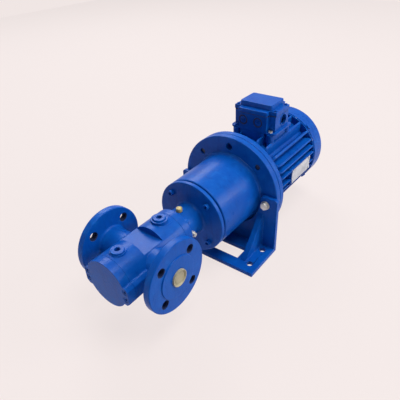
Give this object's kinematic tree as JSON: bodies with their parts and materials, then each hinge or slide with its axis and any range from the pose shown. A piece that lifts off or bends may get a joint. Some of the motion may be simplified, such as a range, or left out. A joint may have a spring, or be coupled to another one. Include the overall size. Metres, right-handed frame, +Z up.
{
  "type": "three-screw pump set with flange motor",
  "caption": "Horizontal three-screw oil pump on a foot bracket, bell housing and flange-mounted electric motor, with side ports and a terminal box.",
  "frame": {"origin": "centre of the foot bracket's four holes, on the floor under the base", "axes": "+X along the shaft from the pump towards the motor, -Y the side of the suction port, +Z up"},
  "size_m": [0.5415, 0.21, 0.239],
  "materials": {
    "blue_cast": "satin enamel over cast iron",
    "blue_plate": "satin enamel over steel plate",
    "blue_motor": "satin enamel over cast aluminium",
    "blue_sheet": "satin enamel over steel sheet",
    "blue_screw": "satin enamel over steel",
    "dark_screw": "black oxide",
    "grey_iron": "machined",
    "ground_steel": "ground",
    "bearing_steel": "polished",
    "spring_steel": "phosphated",
    "seal_carbon": "lapped carbon",
    "stainless": "turned",
    "cream_plastic": "moulded",
    "yellow_plastic": "moulded",
    "zinc": "zinc plated",
    "cast_aluminium": "machined",
    "spider_rubber": "moulded",
    "lamination": "stacked sheet",
    "copper": "enamelled wire",
    "black_plastic": "moulded",
    "gasket_rubber": "cut sheet",
    "brass_stud": "turned",
    "plate_metal": "bare, brushed"
  },
  "bodies": {
    "housing": {"bearing_clip": "spring_steel", "bell_housing": "blue_cast", "box_gasket": "gasket_rubber", "box_screws": "zinc", "bracket_bolts": "zinc", "bracket_washers": "zinc", "cowl_screws": "blue_screw", "disc_screws": "blue_screw", "discharge_plug": "cream_plastic", "drain_fitting": "zinc", "drive_cover": "blue_cast", "drive_cover_screws": "blue_screw", "earth_screw": "zinc", "end_cover": "blue_cast", "end_cover_screws": "blue_screw", "fan_cowl": "blue_sheet", "flange_screws": "dark_screw", "foot_bracket": "blue_plate", "front_bearing_outer": "bearing_steel", "leak_plug": "yellow_plastic", "lid_screws": "blue_screw", "motor_flange": "blue_cast", "motor_frame": "blue_motor", "nameplate": "plate_metal", "nameplate_rivets": "plate_metal", "priming_plug": "blue_screw", "pump_bearing_outer": "bearing_steel", "pump_casing": "blue_cast", "rear_bearing_outer": "bearing_steel", "rear_shield": "blue_motor", "screw_liner": "grey_iron", "seal_seat": "seal_carbon", "stator_core": "lamination", "stator_windings": "copper", "suction_plug": "cream_plastic", "terminal_board": "black_plastic", "terminal_box": "blue_motor", "terminal_lid": "blue_motor", "terminal_studs": "brass_stud", "vent_plug": "blue_screw"},
    "rotor": {"power_screw": "ground_steel", "pump_bearing_inner": "bearing_steel", "seal_head": "stainless", "pump_key": "bearing_steel", "pump_coupling_hub": "cast_aluminium", "coupling_spider": "spider_rubber", "motor_coupling_hub": "cast_aluminium", "motor_key": "bearing_steel", "motor_shaft": "ground_steel", "rotor_core": "lamination", "front_bearing_inner": "bearing_steel", "rear_bearing_inner": "bearing_steel", "cooling_fan": "black_plastic"},
    "idler_left": {"idler_screw_left": "ground_steel"},
    "idler_right": {"idler_screw_right": "ground_steel"}
  },
  "joints": [
    {"name": "rotor_spin", "type": "hinge", "parent": "housing", "child": "rotor", "pos_m": [0, 0, 0.105], "axis": [1, 0, 0], "continuous": true},
    {"name": "idler_left_spin", "type": "hinge", "parent": "housing", "child": "idler_left", "pos_m": [0, 0.02, 0.105], "axis": [1, 0, 0], "continuous": true},
    {"name": "idler_right_spin", "type": "hinge", "parent": "housing", "child": "idler_right", "pos_m": [0, -0.02, 0.105], "axis": [1, 0, 0], "continuous": true}
  ],
  "couplings": [
    {"joint": "idler_left_spin", "follows": "rotor_spin", "ratio": -1},
    {"joint": "idler_right_spin", "follows": "rotor_spin", "ratio": -1}
  ]
}
